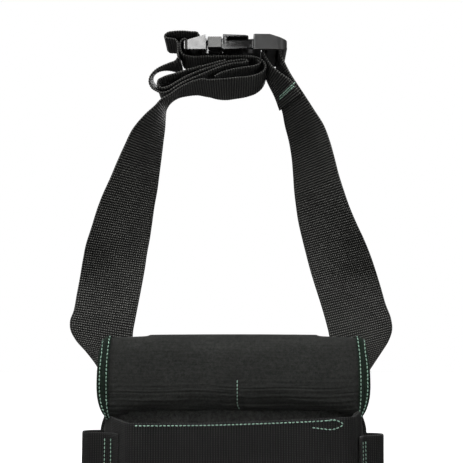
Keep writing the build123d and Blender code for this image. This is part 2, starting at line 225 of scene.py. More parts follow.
def soft_noise(shape, cells):
    """Smooth random field in -1..1 over a grid, with the given number of cells each way."""
    coarse = noise.uniform(-1, 1, (cells[0] + 3, cells[1] + 3))

    def weights(n, count):
        t = np.linspace(0, n, count)
        i = np.minimum(t.astype(int), n - 1)
        f = t - i
        rising, falling = 3 * f**3 - 6 * f**2 + 4, -3 * f**3 + 3 * f**2 + 3 * f + 1
        return i, np.stack([(1 - f) ** 3, rising, falling, f**3]) / 6

    ix, wx = weights(cells[0], shape[0])
    iy, wy = weights(cells[1], shape[1])
    field = np.zeros(shape)
    for a in range(4):
        for b in range(4):
            field += wx[a][:, None] * wy[b][None, :] * coarse[ix + a][:, iy + b]
    return field * NOISE_GAIN


def webbing(names, stations, material, columns=19, cuts=()):
    """Ribbed webbing through stations, each the front and the back edge's point in millimetres.

    It is divided at the heights in cuts, so that its lengths can follow different bodies.
    """
    table = np.array([list(front) + list(back) for front, back in stations], float) * MM
    middle_first = np.concatenate([(table[:, :3] + table[:, 3:]) / 2, table], 1)
    curve = smooth_curve(middle_first, RIB_PITCH / 4)
    front, back = curve[:, 3:6], curve[:, 6:9]
    v = np.linspace(0, 1, columns)
    v = 0.5 - 0.5 * np.cos(np.pi * v) * (0.82 + 0.18 * np.cos(np.pi * v) ** 2)
    middle = front[:, None] * (1 - v)[None, :, None] + back[:, None] * v[None, :, None]
    phase = 2 * np.pi * np.arange(len(curve)) / 4
    edge = ramp(np.minimum(v, 1 - v) / SELVEDGE) ** 0.5
    half = WEB_HALF * (0.45 + 0.55 * edge)[None, :] + RIB_HEIGHT * np.cos(phase)[:, None] * edge[None, :]
    wander = soft_noise((len(curve), columns), (max(2, len(curve) // 60), 2)) * WEB_WANDER
    ends = [0, *(int(np.argmax(curve[:, 2] > height)) for height in cuts), len(curve) - 1]
    pieces = []
    for name, first, last in zip(names.split(), ends[:-1], ends[1:]):
        rows = slice(first, last + 1)
        start = first * RIB_PITCH / 4
        pieces.append(slab(name, middle[rows], half[rows], material, lift=wander[rows], start=start))
    return pieces if cuts else pieces[0]


def upright(plan, low_z, high_z):
    """Stations for webbing that stands on edge along points in plan, in millimetres."""
    return [((x, y, low_z), (x, y, high_z)) for x, y in plan]


def level_pairs(points):
    """Stations for webbing that lies square across the belt: x and z in millimetres."""
    half = WEB_WIDTH / MM / 2
    return [((x, -half, z), (x, half, z)) for x, z in points]


def tilted_pairs(rows):
    """Stations across the belt whose front and back edges differ: front x, z and back x, z."""
    half = WEB_WIDTH / MM / 2
    return [((fx, -half, fz), (bx, half, bz)) for fx, fz, bx, bz in rows]


def corner_pairs(rows):
    """Stations flat in the belt's plane: outer x, z, inner x, z and their depth."""
    return [((ox, y, oz), (ix, y, iz)) for ox, oz, ix, iz, y in rows]


# Materials --------------------


class Nodes:
    """A node tree that is built with short calls; i0, i1 … stand for a node's numbered inputs."""

    def __init__(self, tree):
        self.tree = tree

    def put(self, socket, value):
        """Link a socket to a node's output, or set its number or colour."""
        if isinstance(value, bpy.types.NodeSocket):
            self.tree.links.new(value, socket)
        elif isinstance(value, tuple) and len(value) == 3 and socket.type == "RGBA":
            socket.default_value = (*value, 1)
        else:
            socket.default_value = value

    def node(self, kind, settings=None, **inputs):
        """New node with its settings and inputs."""
        made = self.tree.nodes.new("ShaderNode" + kind)
        for key, value in (settings or {}).items():
            setattr(made, key, value)
        for key, value in inputs.items():
            numbered = key[0] == "i" and key[1:].isdigit()
            self.put(made.inputs[int(key[1:]) if numbered else key], value)
        return made

    def math(self, operation, a, b=0.0):
        """Result of a math node."""
        return self.node("Math", {"operation": operation}, i0=a, i1=b).outputs[0]

    def add(self, a, b):
        """Sum of two values."""
        return self.math("ADD", a, b)

    def times(self, a, b):
        """Product of two values."""
        return self.math("MULTIPLY", a, b)

    def mix(self, factor, a, b):
        """Colour between two colours."""
        return self.node("Mix", {"data_type": "RGBA"}, i0=factor, i6=a, i7=b).outputs[2]

    def between(self, factor, a, b):
        """Number between two numbers."""
        return self.node("Mix", {"data_type": "FLOAT"}, i0=factor, i2=a, i3=b).outputs[0]

    def spread(self, value, low, high):
        """Value in 0..1 stretched to low..high."""
        return self.node("MapRange", Value=value, i3=low, i4=high).outputs[0]

    def place(self):
        """Position in metres."""
        return self.node("TexCoord").outputs["Object"]

    def split(self, vector):
        """The three parts of a vector."""
        return self.node("SeparateXYZ", Vector=vector).outputs

    def speckle(self, scale, detail=2.0, where=None):
        """Noise of a given fineness."""
        where = self.place() if where is None else where
        return self.node("TexNoise", Scale=scale, Detail=detail, Vector=where).outputs[0]


class Shader(Nodes):
    """A material's node tree round its principled shader."""

    def __init__(self, name, roughness, specular=0.5):
        self.material = bpy.data.materials.new(name)
        self.material.use_nodes = True
        super().__init__(self.material.node_tree)
        self.set(roughness=roughness, specular_ior_level=specular)

    def set(self, **inputs):
        """Set the principled shader's inputs, named with underscores for spaces."""
        for socket in self.tree.nodes["Principled BSDF"].inputs:
            key = socket.name.lower().replace(" ", "_")
            if key in inputs:
                self.put(socket, inputs[key])

    def cloth_uv(self):
        """Distance along and across the cloth in metres."""
        return self.split(self.node("UVMap", {"uv_map": "Cloth"}).outputs[0])

    def bump(self, height, distance, strength=1.0):
        """Fine relief on the surface."""
        self.set(normal=self.node("Bump", Height=height, Distance=distance, Strength=strength).outputs[0])

    def finish(self, colour, **inputs):
        """Give the material its colour and last inputs."""
        self.set(base_color=colour, **inputs)
        return self.material


def grey(tone):
    """Neutral colour."""
    return (tone, tone, tone)


def half_wave(shader, distance, pitch):
    """Sine wave raised to 0..1."""
    wave = shader.math("SINE", shader.times(distance, 2 * math.pi / pitch))
    return shader.node("Math", {"operation": "MULTIPLY_ADD"}, i0=wave, i1=0.5, i2=0.5).outputs[0]


def webbing_material(name, dark, light, yarn=1.35 * MM):
    """Polypropylene webbing: ribs across it and the yarns that cross them, with painted highlights on the
    crests and painted shade in the valleys.
    """
    shader = Shader(name, 0.6, 0.22)
    along, across, _ = shader.cloth_uv()
    ribs = half_wave(shader, along, RIB_PITCH)
    row = shader.math("FLOOR", shader.math("DIVIDE", along, RIB_PITCH / 2))
    yarns = half_wave(shader, shader.add(across, shader.times(row, yarn / 2)), yarn)
    fibre = shader.speckle(2600.0, 3.0)
    fade = shader.speckle(38.0, 3.0)
    height = shader.times(shader.math("POWER", yarns, 0.7), ribs)
    height = shader.add(height, shader.times(fibre, 0.25))
    shader.bump(height, 0.30 * MM, 0.9)
    # The colour follows the relief: rib crests are painted lighter and valleys darker, as painted highlight
    # and painted shade.
    tone = shader.times(shader.math("POWER", height, 2.6), shader.spread(fade, 0.4, 1.5))
    shader.set(sheen_weight=0.04, sheen_roughness=0.45)
    return shader.finish(shader.mix(tone, dark, light), roughness=shader.spread(fibre, 0.42, 0.72))


def cloth_material(name, dark, light, yarn, creases=0.0, sheen=0.05):
    """Plain woven cloth with slubs, a dusty nap and faint crease streaks, painted lighter where they rise
    and darker where they sink as painted crease shade.
    """
    shader = Shader(name, 0.85, 0.15)
    x, y, z = shader.split(shader.place())
    warp = half_wave(shader, shader.add(x, shader.times(y, 0.6)), yarn)
    weft = half_wave(shader, shader.add(z, shader.times(y, 0.8)), yarn)
    weave = shader.math("ABSOLUTE", shader.math("SUBTRACT", warp, weft))
    stretched = shader.node("Mapping", Vector=shader.place(), Scale=(9.0, 9.0, 160.0)).outputs[0]
    streak = shader.speckle(5.0, 4.0, stretched)
    fine, coarse = shader.speckle(1500.0, 3.0), shader.speckle(420.0, 3.0)
    nap = shader.add(shader.times(fine, 0.55), shader.times(coarse, 0.45))
    nap = shader.node("MapRange", Value=nap, i1=0.32, i2=0.68).outputs[0]
    fade = shader.speckle(24.0, 4.0)
    height = shader.add(shader.times(weave, 0.5), shader.times(nap, 0.5))
    height = shader.add(height, shader.times(streak, creases))
    shader.bump(height, 0.16 * MM, 0.8)
    tone = shader.times(shader.spread(nap, 0.0, 1.0), shader.spread(fade, 0.45, 1.35))
    # Painted crease shade: the crease streaks are painted lighter where their relief rises and darker where
    # it sinks.
    tone = shader.add(tone, shader.times(shader.math("SUBTRACT", streak, 0.5), creases))
    shader.set(sheen_weight=sheen, sheen_roughness=0.6)
    return shader.finish(shader.mix(tone, dark, light), roughness=shader.spread(nap, 0.7, 0.95))


def thread_material():
    """Mint green sewing thread with its twist, painted paler on the ridges and darker in the grooves as
    painted highlight and shade.
    """
    shader = Shader("mint_thread", 0.5)
    twist = half_wave(shader, shader.add(*shader.cloth_uv()[:2]), 0.5 * MM)
    fibre = shader.speckle(1800.0)
    shader.bump(shader.add(twist, fibre), 0.1 * MM)
    # Painted highlight and shade: the twist's ridges are painted paler green and its grooves darker.
    colour = shader.mix(twist, (0.115, 0.34, 0.215), (0.40, 0.66, 0.52))
    return shader.finish(shader.mix(shader.spread(fibre, 0.0, 0.6), colour, (0.66, 0.82, 0.74)))


def plastic_material(name, dark, light, roughness, grain, stipple=0.0):
    """Moulded acetal: a fine moulded grain, handling marks and paler spots of wear."""
    shader = Shader(name, roughness)
    fine = shader.speckle(grain)
    marks = shader.speckle(120.0, 5.0)
    shader.bump(shader.add(fine, shader.times(marks, 0.4)), (0.03 + stipple) * MM, 0.6)
    colour = shader.mix(shader.spread(marks, 0.0, 1.0), dark, light)
    return shader.finish(colour, roughness=shader.spread(marks, roughness - 0.07, roughness + 0.1))


def socket_material():
    """Polished acetal, a little duller over the strap block than over the plates, and painted paler there
    as a painted highlight.
    """
    shader = Shader("socket_acetal", 0.3)
    # Mask of the strap block, whose colour is painted paler as a painted highlight and whose roughness is a
    # little higher.
    painted_highlight_block = shader.math("LESS_THAN", shader.split(shader.place())[0], SOCKET_BLOCK_X)
    marks = shader.speckle(160.0, 5.0)
    shader.bump(shader.add(shader.speckle(900.0), marks), 0.02 * MM, 0.5)
    shine = shader.between(painted_highlight_block, shader.spread(marks, 0.10, 0.18), shader.spread(marks, 0.11, 0.19))
    colour = shader.mix(marks, grey(0.003), grey(0.012))
    # Painted highlight: the strap block's colour is painted paler than the plates'.
    return shader.finish(shader.mix(painted_highlight_block, colour, (0.02, 0.02, 0.018)), roughness=shine)


def latch_material():
    """Acetal latch arm whose thumb pad is stippled, with pale grey painted on its sideways faces as a
    painted highlight.
    """
    shader = Shader("latch_acetal", 0.3)
    facing = shader.split(shader.node("NewGeometry").outputs["Normal"])[1]
    pad = shader.math("LESS_THAN", shader.split(shader.place())[0], PAD_RIGHT_X)
    # Only the pad's sideways faces count, which take the stipple and the painted highlight.
    pad = shader.times(pad, shader.math("GREATER_THAN", shader.math("ABSOLUTE", facing), 0.6))
    stipple = shader.speckle(1400.0, 3.0)
    shader.bump(shader.times(stipple, shader.add(pad, 0.1)), 0.18 * MM, 0.9)
    # Painted highlight: the thumb pad's sideways faces are painted pale grey.
    pad_painted_highlight = shader.mix(stipple, grey(0.08), (0.32, 0.32, 0.31))
    smooth = shader.mix(shader.speckle(140.0, 4.0), grey(0.003), grey(0.014))
    return shader.finish(shader.mix(pad, smooth, pad_painted_highlight), roughness=shader.between(pad, 0.07, 0.55))


WEB = webbing_material("belt_webbing", (0.003, 0.003, 0.0027), (0.155, 0.155, 0.144), 1.5 * MM)
BAND = webbing_material("mouth_webbing", grey(0.003), (0.036, 0.0355, 0.034))
TAPE = webbing_material("binding_tape", grey(0.004), (0.040, 0.040, 0.038), 0.9 * MM)
ROLL = cloth_material("roll_cloth", (0.007, 0.0074, 0.0066), (0.037, 0.0385, 0.0355), 0.55 * MM, 0.6)
HEM = cloth_material("hem_cloth", (0.003, 0.008, 0.005), (0.011, 0.023, 0.014), 0.55 * MM, 0.2)
CLOTH = cloth_material("pouch_cloth", (0.008, 0.008, 0.0075), (0.046, 0.046, 0.044), 0.8 * MM, 0.15)
# Painted light: the lining is painted paler than the outer cloth so that the shaded inside below the roll
# looks lit.
LINING_PAINTED_LIGHT = cloth_material("lining_cloth", (0.020, 0.020, 0.019), (0.11, 0.11, 0.105), 0.5 * MM)
THREAD = thread_material()
PLUG = plastic_material("plug_acetal", grey(0.010), (0.035, 0.035, 0.034), 0.36, 900.0, 0.02)
SOCKET = socket_material()
LATCH = latch_material()
BOARD = plastic_material("stiffener_board", grey(0.02), grey(0.05), 0.6, 500.0)


# Stitching --------------------


def stitch_row(name, path, normals, body="bag", pitch=STITCH_PITCH, radius=THREAD_RADIUS):
    """One piece of short rounded stitches lying along a path on a surface."""
    path = np.asarray(path, float)
    length = run_length(path)
    normals = unit(np.asarray(normals, float) + np.zeros_like(path))
    rings, sides = 7, 6
    t = np.linspace(-1, 1, rings)
    around = np.linspace(0, 2 * np.pi, sides, endpoint=False)
    vertices, faces, uv = [], [], []
    for centre in np.arange(pitch / 2, length[-1] - pitch / 3, pitch):
        here = centre + t * STITCH_LENGTH / 2 + noise.uniform(-0.12, 0.12) * MM
        middle = sample(here, length, path)
        up = unit(sample(here, length, normals))
        ahead = unit(np.gradient(middle, axis=0))
        aside = unit(np.cross(ahead, up))
        lean = noise.uniform(-0.18, 0.18) * MM
        rise = ((1 - t[:, None] ** 2) * 0.35 - 0.12) * radius * 2
        middle = middle + aside * (t[:, None] * lean) + up * rise
        size = radius * np.sqrt(np.clip(1.02 - t**2, 0.02, 1))[:, None, None]
        across = np.cos(around)[None, :, None] * aside[:, None]
        above = 0.8 * np.sin(around)[None, :, None] * up[:, None]
        ring = middle[:, None] + size * (across + above)
        faces += tube_faces(rings, sides, len(vertices) * rings * sides)
        vertices.append(ring.reshape(-1, 3))
        uv.append(np.stack([np.repeat(here, sides), np.tile(around * radius, rings)], -1))
    piece = new_object(name, np.concatenate(vertices), faces, THREAD, np.concatenate(uv))
    if body:
        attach(piece, body)
    return piece


# Padded roll --------------------

ROLL_MID_Z = (ROLL_LOW + ROLL_HIGH) / 2
ROLL_HALF_Z = (ROLL_HIGH - ROLL_LOW) / 2
ROLL_CREST_Y = ROLL_BACK - 6.5 * MM
ROLL_DROOP = 4.6 * MM
FRONT_ROUNDING, BACK_ROUNDING = 2 / 2.5, 2 / 6.0
END_ROUND_HIGH, END_ROUND_LOW = 3.4 * MM, 7.4 * MM
PAD_UNDER_HEM = 7.5 * MM
SWELL_PRESSURE, SWELL_LIMIT = 4.0, 3.0 * MM
HUG_FROM = 4 * MM
HEM_HALF = 1.05 * MM
HEM_ROWS_AT = (0.20, 0.79)


def roll_section(angle, grow=0.0):
    """Depth and height of the roll's D-shaped section at an angle, 0 at its front."""
    c, s = np.cos(angle), np.sin(angle)
    front = c > 0
    power = np.where(front, FRONT_ROUNDING, BACK_ROUNDING)
    reach = np.where(front, ROLL_CREST_Y - ROLL_FRONT, ROLL_BACK - ROLL_CREST_Y) + grow
    y = ROLL_CREST_Y - reach * signed_power(c, power)
    z = ROLL_MID_Z + (ROLL_HALF_Z + grow) * signed_power(s, power)
    return y, z


def roll_end_x(z):
    """How far the roll's turned end reaches at a height: fullest near the middle."""
    rise = (np.asarray(z) - ROLL_MID_Z + 1 * MM) / ROLL_HALF_Z
    return ROLL_END - 0.3 * MM - np.where(rise > 0, END_ROUND_HIGH, END_ROUND_LOW) * np.abs(rise) ** 2.4


def hem_start_x(z):
    """Where the hem begins: almost upright, leaning inwards a little above the roll's middle."""
    lean = np.where(np.asarray(z) > ROLL_MID_Z, 0.4, 0.0)
    return ROLL_END - 0.9 * HEM_WIDTH - lean * (ROLL_END - roll_end_x(z))


def roll_sag(x):
    """The roll's top edge drops a little towards its ends."""
    shoulder = np.clip((np.abs(x) - ROLL_END + HEM_WIDTH) / HEM_WIDTH, 0, 1.2)
    return -3.4 * MM * np.abs(x / ROLL_END) ** 3 - 2.2 * MM * shoulder**2


def inflate(piece, pressure, cap, frames=20):
    """Swell a closed cloth mesh by cloth simulation, limiting how far each point may move."""
    rest = points_of(piece.data)
    scene = bpy.context.scene
    cloth = piece.modifiers.new("Cloth", "CLOTH")
    cloth.settings.quality = 6
    cloth.settings.mass = 0.3
    cloth.settings.use_pressure = True
    cloth.settings.uniform_pressure_force = pressure
    cloth.settings.tension_stiffness = 20
    cloth.settings.compression_stiffness = 12
    cloth.settings.bending_stiffness = 0.6
    cloth.settings.effector_weights.gravity = 0
    cloth.point_cache.frame_start = 1
    cloth.point_cache.frame_end = frames
    for number in range(1, frames + 1):
        scene.frame_set(number)
    moved = piece.evaluated_get(bpy.context.evaluated_depsgraph_get())
    after = points_of(moved.data)
    piece.modifiers.remove(cloth)
    scene.frame_set(1)
    shift = after - rest
    size = np.linalg.norm(shift, axis=1, keepdims=True)
    shift *= np.minimum(1, cap / np.maximum(size, 1e-9))
    piece.data.vertices.foreach_set("co", (rest + shift).ravel())
    piece.data.update()


def apply_modifier(piece, kind, **settings):
    """Add a modifier and bake it into the piece's mesh."""
    made = piece.modifiers.new(kind.title(), kind)
    for key, value in settings.items():
        setattr(made, key, value)
    evaluated = piece.evaluated_get(bpy.context.evaluated_depsgraph_get())
    mesh = bpy.data.meshes.new_from_object(evaluated)
    piece.modifiers.clear()
    piece.data = mesh


def roll_blank(reach):
    """Closed tube of the roll's section, its ends drawn in to the middle."""
    x = np.linspace(-reach, reach, 60)
    angle = np.linspace(0, 2 * np.pi, 56, endpoint=False)
    y, z = roll_section(angle, -1.6 * MM)
    rows = [np.stack([np.full_like(y, px), y, z + roll_sag(px)], -1) for px in x]
    centre = np.array([0, ROLL_CREST_Y, ROLL_MID_Z])
    for end, px in ((0, x[0]), (-1, x[-1])):
        for share in (0.9, 0.5):
            cap = rows[end] * share + (centre + np.array([px, 0, 0])) * (1 - share)
            cap[:, 0] = px
            rows.insert(0, cap) if end == 0 else rows.append(cap)
    grid = np.array(rows)
    return new_object("roll_pad", grid.reshape(-1, 3), tube_faces(*grid.shape[:2]), ROLL)


def fit_roll(co, reach):
    """Stretch swollen points to the roll's depth and height, within its turned ends."""
    depth = (1, ROLL_FRONT - 0.4 * MM, ROLL_BACK)
    height = (2, ROLL_LOW + 0.8 * MM, ROLL_HIGH + 0.6 * MM)
    for axis, low_to, high_to in (depth, height):
        low_from, high_from = co[:, axis].min(), co[:, axis].max()
        co[:, axis] = low_to + (co[:, axis] - low_from) * (high_to - low_to) / (high_from - low_from)
    limit = roll_end_x(co[:, 2]) - 0.5 * MM
    co[:, 0] = np.clip(co[:, 0], -limit, limit)
    droop = ramp((ROLL_MID_Z - co[:, 2]) / ROLL_HALF_Z) ** 2
    co[:, 2] -= ROLL_DROOP * droop * (1 - (co[:, 0] / reach) ** 2)
    return droop


def roll_creases(co, normal, droop, reach):
    """Outward shift of the pad's cloth: creases low down, the tack's pull, the hems' grooves."""
    x, z = co[:, 0], co[:, 2]
    low = ramp((ROLL_MID_Z + 4 * MM - z) / (24 * MM)) * (normal[:, 1] < 0.2)
    drift = 1.2 * MM * np.sin(x / (31 * MM)) + 0.7 * MM * np.sin(x / (11 * MM) + 1)
    drift += ROLL_DROOP * droop * (1 - (x / reach) ** 2)
    crease = -(np.cos((z + drift) * 2 * np.pi / (4.6 * MM)) ** 8) * 0.65 * MM
    crease -= (np.cos((z + 0.5 * drift) * 2 * np.pi / (7.7 * MM)) ** 12) * 0.7 * MM
    pull = -1.1 * MM * np.exp(-((x - 3 * MM) / (5 * MM)) ** 2) * ramp(low * 1.6)
    groove = -0.9 * MM * np.exp(-((np.abs(x) - hem_start_x(z)) / (2.2 * MM)) ** 2)
    return low * crease + pull + groove


def roll_pad():
    """The roll's padded body, swollen by cloth simulation between its two sewn ends."""
    reach = ROLL_END - HEM_WIDTH + PAD_UNDER_HEM
    pad = roll_blank(reach)
    apply_modifier(pad, "REMESH", mode="VOXEL", voxel_size=4 * MM)
    inflate(pad, SWELL_PRESSURE, SWELL_LIMIT)
    apply_modifier(pad, "SUBSURF", levels=2)
    co = points_of(pad.data)
    normal = np.array([v.normal for v in pad.data.vertices])
    droop = fit_roll(co, reach)
    co += normal * roll_creases(co, normal, droop, reach)[:, None]
    pad.data.vertices.foreach_set("co", co.ravel())
    pad.data.polygons.foreach_set("use_smooth", [True] * len(pad.data.polygons))
    pad.data.update()
    pad.data.materials.clear()
    pad.data.materials.append(ROLL)
    return settle(pad, "roll_fabric", "bag", "tunnel_front", "tunnel_foam")


def hug(pad, middle, inward):
    """Draw a hem's rings in until they lie on the pad, most of all where the hem begins."""
    surface = surface_of(pad)
    gap = np.zeros(middle.shape[:2])
    for row, ring in enumerate(middle):
        for column, point in enumerate(ring):
            ray = Vector(inward[column])
            hit = surface.ray_cast(Vector(point) - ray * HUG_FROM, ray, 3 * HUG_FROM)[3]
            gap[row, column] = gap[row - 1, column] if hit is None else hit - HUG_FROM
    gap = sum(np.roll(gap, shift, 1) for shift in range(-3, 4)) / 7
    share = np.linspace(0, 1, len(middle))[:, None]
    return middle + inward[None] * ((gap - 0.5 * MM) * (1 - 0.6 * share))[..., None]


def roll_hem(side, pad):
    """Turned and double-stitched end of the roll, with its two rows of stitches."""
    name = "left" if side < 0 else "right"
    angle = np.linspace(0, 2 * np.pi, 96, endpoint=False) * side
    y, z = roll_section(angle, 0.2 * MM)
    start, end = hem_start_x(z), roll_end_x(z)
    u = np.linspace(0, 1, 15)
    inward = unit(np.stack([np.zeros_like(y), ROLL_CREST_Y - y, (ROLL_MID_Z - z) * 0.3], -1))
    middle = np.zeros((len(u), len(angle), 3))
    for n, share in enumerate(u):
        x = side * (start + (end - start) * share)
        dip = 0.9 * MM * math.exp(-(share / 0.14) ** 2) + 0.5 * MM * share**6
        middle[n] = np.stack([x, y, z + roll_sag(x)], -1) + inward * dip
    middle = hug(pad, middle, inward)
    middle += inward[None] * (soft_noise((len(u), len(angle)), (2, 14)) * 0.22 * MM)[..., None]
    half = np.full((len(u), 1), HEM_HALF)
    half[0] = half[-1] = 0.6 * MM
    hem = slab(f"roll_hem_{name}", middle, half, HEM, wrap=True)
    settle(hem, "roll_fabric", "bag", f"tunnel_hem_{name}")
    normal = grid_normals(middle, wrap=True)
    keep = np.r_[np.arange(60, 96), np.arange(0, 37)]
    for number, share in enumerate(HEM_ROWS_AT):
        at = share * (len(u) - 1)
        n, f = int(at), at - int(at)
        path = (middle[n] * (1 - f) + middle[n + 1] * f)[keep]
        up = normal[n][keep]
        stitch_row(f"roll_{name}_stitches_{number + 1}", path + up * (HEM_HALF + THREAD_LIFT), up)


def laid_on(piece, points, direction):
    """Where rays through the points, along a direction, meet a piece, with its normals there."""
    surface = surface_of(piece)
    ray = Vector(unit(np.asarray(direction, float)))
    path, normals = [], []
    for point in points:
        hit, normal, _, _ = surface.ray_cast(Vector(point) - ray * STAND_OFF, ray)
        if hit is not None:
            normal = normal if normal.dot(ray) < 0 else -normal
            path.append(np.array(hit) + np.array(normal) * THREAD_LIFT)
            normals.append(np.array(normal))
    return path, normals


def tack_row(pad):
    """Short vertical row of stitches that pulls the roll's middle in, laid on the swollen pad."""
    points = []
    for height in np.linspace(ROLL_MID_Z - 2.5 * MM, ROLL_LOW + 1.5 * MM, 40):
        jog = 1.6 * MM * math.exp(-((height - ROLL_LOW - 7 * MM) / (2.5 * MM)) ** 2)
        points.append((3.0 * MM + jog, ROLL_FRONT - 10 * MM, height))
    path, normals = laid_on(pad, points, (0, 1, 0))
    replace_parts(stitch_row("roll_tack_stitches", path, normals), "roll_stitching")


# Pouch --------------------

POUCH_BOTTOM = 1.6 * MM
CORNER_ROUND = 9 * MM
CLOTH_HALF = 0.6 * MM
TOP_RISE = 9 * MM
TAPE_HALF = 0.35 * MM
AROUND = np.linspace(0, 2 * np.pi, 24, endpoint=False)
FORWARD = np.array([0, -1.0, 0])
BACKWARD = -FORWARD


def pouch_plan(count, outset=0.0):
    """Rounded plan of the pouch wall from its back left corner round the front to its back right."""
    outset += 0.6 * MM
    corners = np.array([
        (BACK_LEFT + 1.2 * MM - outset, WALL_BACK_Y),
        (FRONT_LEFT - outset, FRONT_Y + 0.6 * MM - outset),
        (FRONT_RIGHT + outset, FRONT_Y + 0.6 * MM - outset),
        (BACK_RIGHT - 1.2 * MM + outset, WALL_BACK_Y),
    ])
    points = [corners[0]]
    for before, corner, after in zip(corners[:-2], corners[1:-1], corners[2:]):
        start = corner + (before - corner) / np.linalg.norm(before - corner) * CORNER_ROUND
        stop = corner + (after - corner) / np.linalg.norm(after - corner) * CORNER_ROUND
        for t in np.linspace(0, 1, 9):
            points.append((1 - t) ** 2 * start + 2 * t * (1 - t) * corner + t * t * stop)
    points.append(corners[3])
    points = np.array(points)
    length = run_length(points)
    return sample(np.linspace(0, length[-1], count), length, points)


def plan_outward(plan):
    """Directions that lead out of the pouch from the points of its plan."""
    return unit(np.stack([np.gradient(plan[:, 1]), -np.gradient(plan[:, 0])], -1))


def mouth_height(plan):
    """The mouth's edge sags at the front and climbs along the gussets to the roll."""
    back = ramp((plan[:, 1] - FRONT_Y) / (WALL_BACK_Y - FRONT_Y))
    middle = (plan[:, 0] - (FRONT_LEFT + FRONT_RIGHT) / 2) / ((FRONT_RIGHT - FRONT_LEFT) / 2)
    tilt = 2.4 * MM * np.clip(plan[:, 0] / (80 * MM), -1, 1)
    return MOUTH_Z + 2.4 * MM + tilt - 1.4 * MM * ramp(1 - middle**2) + 4 * MM * back**1.3


def wall_swell(plan, share):
    """Outward swell and folds of the pouch wall, fullest below its middle."""
    count, rows = len(plan), len(share)
    front = ramp(1 - ((plan[:, 0] - 6 * MM) / (84 * MM)) ** 2)
    side = 1 - ramp((plan[:, 1] - WALL_BACK_Y) / (FRONT_Y - WALL_BACK_Y))
    gusset = np.sin(np.pi * side) ** 2
    belly = np.sin(np.pi * share**0.8)
    swell = np.outer(belly, 2.2 * MM * front - 3.4 * MM * gusset)
    fold_pull = np.exp(-((side - 0.5) / 0.10) ** 2)
    swell -= np.outer(ramp(1.15 - share) ** 0.6, 3.2 * MM * fold_pull)
    swell += soft_noise((rows, count), (7, 16)) * belly[:, None] * 1.0 * MM
    return swell + soft_noise((rows, count), (14, 46)) * belly[:, None] * 0.35 * MM


def pouch_shell():
    """The pouch's cloth walls as one lofted sheet that sags between its seams."""
    plan = pouch_plan(220)
    share = np.linspace(0, 1, 110)
    top = mouth_height(plan)
    z = POUCH_BOTTOM + np.outer(share, top - POUCH_BOTTOM)
    outward = plan_outward(plan)
    ground = np.exp(-(share / 0.03) ** 2)[:, None] * 1.6 * MM
    shift = wall_swell(plan, share) - ground
    x = plan[None, :, 0] + outward[None, :, 0] * shift
    y = np.minimum(plan[None, :, 1] + outward[None, :, 1] * shift, WALL_BACK_Y)
    middle = np.stack([x, y, z], -1)
    shell = slab("pouch_walls", middle.transpose(1, 0, 2), CLOTH_HALF, CLOTH)
    settle(shell, "pouch_fabric", "bag", "front_panel", "gusset_left", "gusset_right")


def pouch_base():
    """Bottom of the pouch: flat cloth turned up slightly at its edge."""
    plan = pouch_plan(160, 0.4 * MM)
    centre = np.array([3.6 * MM, -3 * MM])
    rings = []
    for share in np.linspace(0.02, 1, 30):
        ring = centre + (plan - centre) * share
        lift = 0.9 * MM * max(0.0, (share - 0.94) / 0.06) ** 2
        rings.append(np.stack([ring[:, 0], ring[:, 1], np.full(len(ring), 0.75 * MM + lift)], -1))
    base = slab("pouch_base", np.array(rings), 0.65 * MM, CLOTH, wrap=True)
    settle(base, "pouch_fabric", "bag", "base_panel")


def mouth_webbing():
    """Ribbed band round the mouth with stitch rows along both edges and a box tack at its end."""
    low_z, high_z = span("mouth_band", 2)
    plan = pouch_plan(64, 2.4 * MM)[5:-5]
    top = mouth_height(plan)
    swell = 0.5 * MM * np.sin(np.linspace(0, 19, len(plan)))
    outward = plan_outward(plan)
    plan = plan + outward * swell[:, None]
    stations = []
    for (x, y), z in zip(plan / MM, top / MM):
        stations.append(((x, y, z + 1.0), (x, y - 0.3, z + 1.0 - (high_z - low_z) / MM)))
    piece = webbing("mouth_band_webbing", stations, BAND, 21)
    settle(piece, "webbing", "bag", "mouth_band")
    path = np.array([front for front, _ in stations]) * MM
    under = np.array([back for _, back in stations]) * MM
    up = np.stack([outward[:, 0], outward[:, 1], np.zeros(len(plan))], -1)
    offset = up * 1.1 * MM
    seen = slice(9, len(plan) - 10)
    row = stitch_row("mouth_top_stitches", (path * 0.95 + under * 0.05 + offset)[seen], up[seen])
    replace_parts(row, "mouth_stitching")
    stitch_row("mouth_lower_stitches", (path * 0.06 + under * 0.94 + offset)[seen], up[seen])
    mouth_tack()


def mouth_tack():
    """Box tack of stitches near the right end of the mouth's band."""
    depth = FRONT_Y - 4.5 * MM
    left, right, high, low = 60 * MM, 80 * MM, MOUTH_Z + 3.0 * MM, MOUTH_Z - 2.2 * MM
    bulge = (right + 4 * MM, (low + high) / 2)
    corners = [(left, low), (right, low), bulge, (right, high), (left + 8 * MM, high)]
    tack = smooth_curve([(x, depth, z) for x, z in corners], 1 * MM)
    stitch_row("mouth_tack_stitches", tack, FORWARD)


def pocket_depth(x, share, left, right):
    """How far the front pocket stands off the wall: two bays that bulge between seams."""
    middle = (left + right) / 2
    bay = np.abs(np.sin(np.pi * ramp((x - left) / (right - left)) * 2))
    fullness = 0.25 + 0.75 * np.sin(np.pi * ramp(share) * 0.62) ** 0.8
    depth = 1.2 * MM + 11.0 * MM * bay**0.7 * fullness
    return depth + 0.8 * MM * np.exp(-((x - middle) / (3 * MM)) ** 2)


